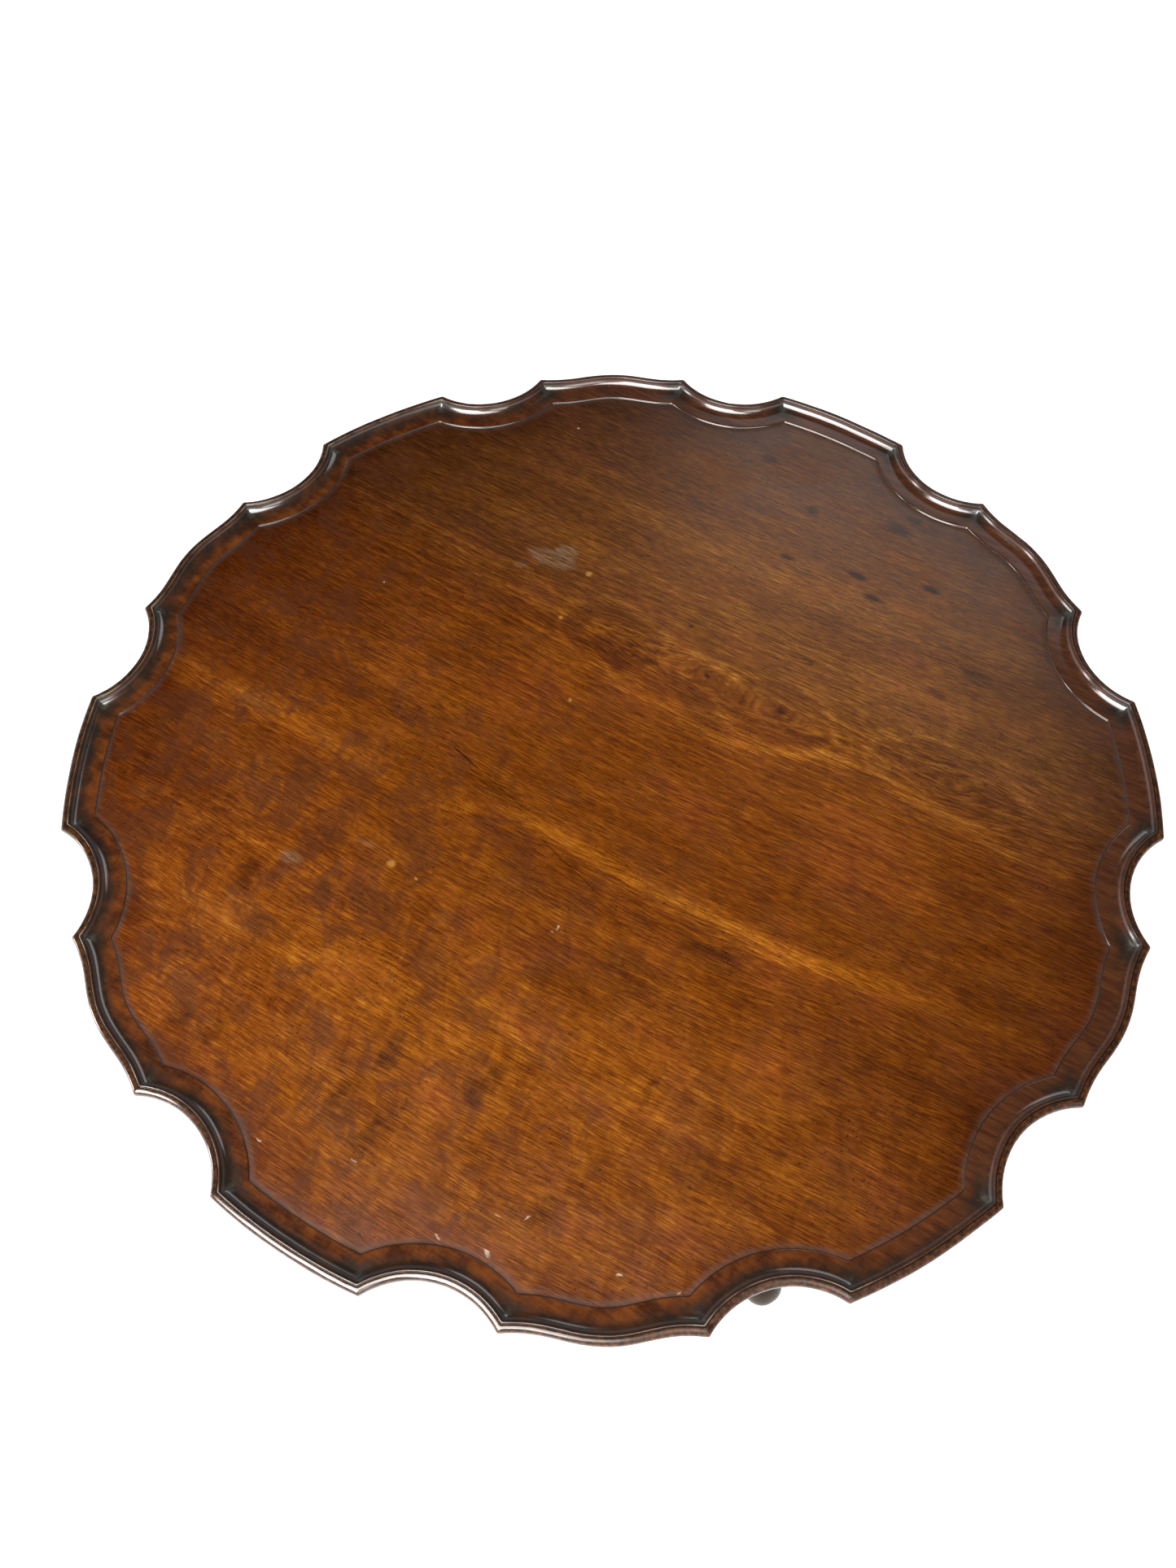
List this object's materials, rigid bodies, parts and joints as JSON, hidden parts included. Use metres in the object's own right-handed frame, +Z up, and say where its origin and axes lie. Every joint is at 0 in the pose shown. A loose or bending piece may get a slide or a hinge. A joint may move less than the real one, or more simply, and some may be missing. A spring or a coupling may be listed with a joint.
{
  "type": "tilt top table",
  "caption": "Round tea table whose dished top with a carved scalloped rim tilts upright on a turned pillar with cabriole legs and a brass catch.",
  "frame": {"origin": "on the floor under the pillar's axis, below the middle of the level top", "axes": "+Z up; X along the board's grain and the tilt hinge; -Y is the front, where the edge of the top goes down as it tilts; the single leg points along +Y"},
  "size_m": [0.855, 0.8598, 0.7],
  "materials": {
    "mahogany_top": "old wax polish, satin, worn on the edges",
    "mahogany_base": "old wax polish, satin, dark in the hollows",
    "mahogany_under": "unpolished, dry and oxidised",
    "pin_wood": "unpolished, rubbed smooth",
    "aged_brass": "old brass, dulled, brighter where handled",
    "wrought_iron": "black oxide with light rust",
    "spring_steel": "dull oiled wire"
  },
  "bodies": {
    "base": {"pillar": "mahogany_base", "tenon_wedge": "pin_wood", "block": "mahogany_under", "pivot_pin_left": "pin_wood", "pivot_pin_right": "pin_wood", "keeper_plate": "aged_brass", "keeper_screws": "aged_brass", "leg_back": "mahogany_base", "leg_left": "mahogany_base", "leg_right": "mahogany_base", "spider_plate": "wrought_iron", "spider_screws": "wrought_iron"},
    "top": {"top_board": "mahogany_top", "bearer_left": "mahogany_under", "bearer_right": "mahogany_under", "bearer_screws": "wrought_iron", "catch_plate": "aged_brass", "catch_case": "aged_brass", "catch_rivets": "aged_brass", "catch_screws": "aged_brass", "catch_spring": "spring_steel"},
    "bolt": {"catch_bolt": "aged_brass", "catch_knob": "aged_brass"}
  },
  "joints": [
    {"name": "top_tilt", "type": "hinge", "parent": "base", "child": "top", "pos_m": [0, -0.08, 0.6597], "axis": [1, 0, 0], "range_deg": [0, 90]},
    {"name": "bolt_slide", "type": "slide", "parent": "top", "child": "bolt", "axis": [0, -1, 0], "range_m": [0, 0.009], "stiffness_N_per_m": 400, "springref_m": 0.018}
  ]
}
